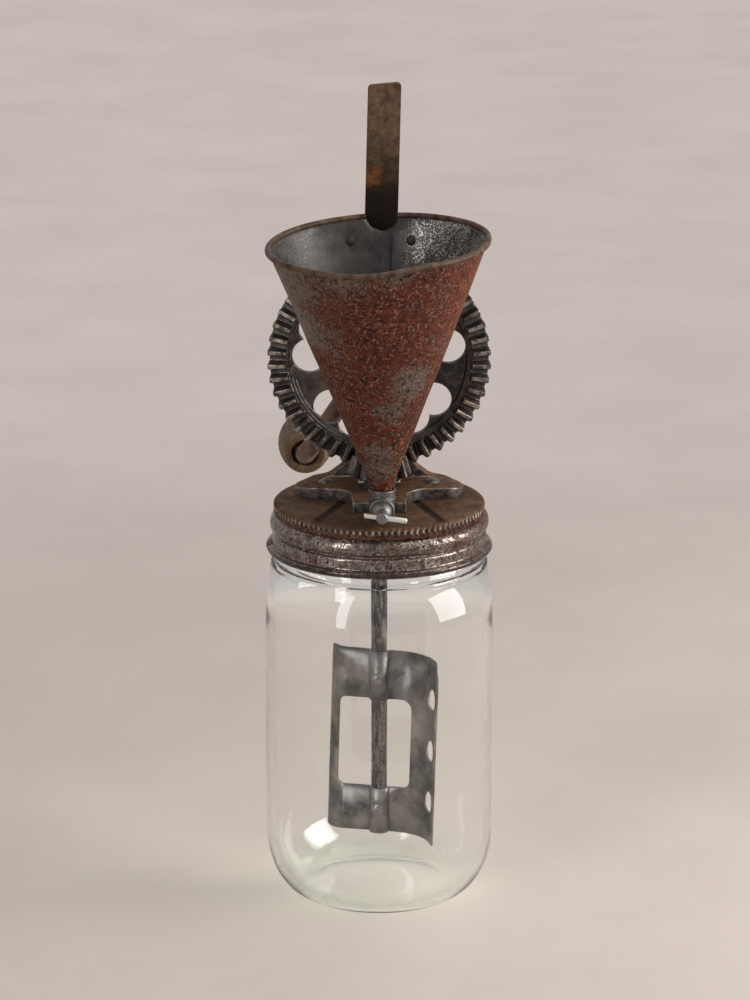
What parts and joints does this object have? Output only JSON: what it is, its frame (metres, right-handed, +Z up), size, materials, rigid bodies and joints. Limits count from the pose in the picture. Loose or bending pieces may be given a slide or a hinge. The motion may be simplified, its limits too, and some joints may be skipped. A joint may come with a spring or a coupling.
{
  "type": "hand crank jar mixer",
  "caption": "Glass jar mixer: a screw lid carries a cast frame whose crank drives bevel gears and a sheet paddle, beside a sheet-metal funnel that drips through a stopcock.",
  "frame": {"origin": "centre of the jar's base, on the surface it stands on, on the axis of jar and beater shaft", "axes": "+Z up along the beater shaft, -Y to the front where the funnel and its stopcock are, +X to the right as seen from the front; the crank is at the back"},
  "size_m": [0.0866, 0.1659, 0.3117],
  "materials": {
    "clear_glass": "clear pressed glass, slightly green in thick places",
    "lid_tin": "tinned sheet, worn, with brown rust",
    "seal_rubber": "aged red-brown rubber",
    "frame_iron": "rough casting with brown rust",
    "rivet_steel": "worn steel",
    "bush_brass": "dull",
    "strap_steel": "browned flat bar",
    "funnel_tin": "tinned sheet with red-brown rust",
    "rim_tin": "rolled edge with tan rust",
    "bracket_steel": "browned sheet",
    "valve_metal": "dull grey plated metal",
    "bright_nickel": "bright worn nickel plate",
    "gear_iron": "dark iron with bright worn tooth tops",
    "rod_steel": "rusted round bar",
    "grip_wood": "weathered turned hardwood",
    "shaft_steel": "dark satin steel",
    "paddle_steel": "dark satin sheet"
  },
  "bodies": {
    "jar": {"glass_jar": "clear_glass"},
    "head": {"jar_lid": "lid_tin", "lid_gasket": "seal_rubber", "gear_frame": "frame_iron", "frame_rivets": "rivet_steel", "shaft_bush": "bush_brass", "handle_strap": "strap_steel", "strap_rivets": "rivet_steel", "funnel": "funnel_tin", "funnel_rim": "rim_tin", "funnel_bracket": "bracket_steel", "funnel_rivets": "rivet_steel", "valve_body": "valve_metal"},
    "drive": {"drive_gear": "gear_iron", "gear_pin": "rivet_steel", "crank_rod": "rod_steel", "axle_washer": "rivet_steel", "spindle_washer": "rivet_steel"},
    "knob": {"crank_knob": "grip_wood"},
    "beater": {"bevel_pinion": "gear_iron", "pinion_pin": "rivet_steel", "beater_shaft": "shaft_steel", "shaft_collar": "shaft_steel", "paddle": "paddle_steel", "paddle_rivets": "rivet_steel"},
    "valve": {"valve_plug": "valve_metal", "valve_handle": "bright_nickel", "plug_washer": "rivet_steel"}
  },
  "joints": [
    {"name": "lid_lift", "type": "slide", "parent": "jar", "child": "head", "axis": [0, 0, 1], "range_m": [0, 0.14]},
    {"name": "crank_turn", "type": "hinge", "parent": "head", "child": "drive", "pos_m": [0, 0.02, 0.20738], "axis": [0, 1, 0], "continuous": true},
    {"name": "knob_spin", "type": "hinge", "parent": "drive", "child": "knob", "pos_m": [-0.02893, 0.07, 0.15885], "axis": [0, 1, 0], "continuous": true},
    {"name": "beater_spin", "type": "hinge", "parent": "head", "child": "beater", "pos_m": [0, 0, 0.15], "axis": [0, 0, 1], "continuous": true},
    {"name": "valve_turn", "type": "hinge", "parent": "head", "child": "valve", "pos_m": [0.001, -0.03, 0.1605], "axis": [0, 1, 0], "range_deg": [0, 90]}
  ],
  "couplings": [
    {"joint": "beater_spin", "follows": "crank_turn", "ratio": 4}
  ]
}
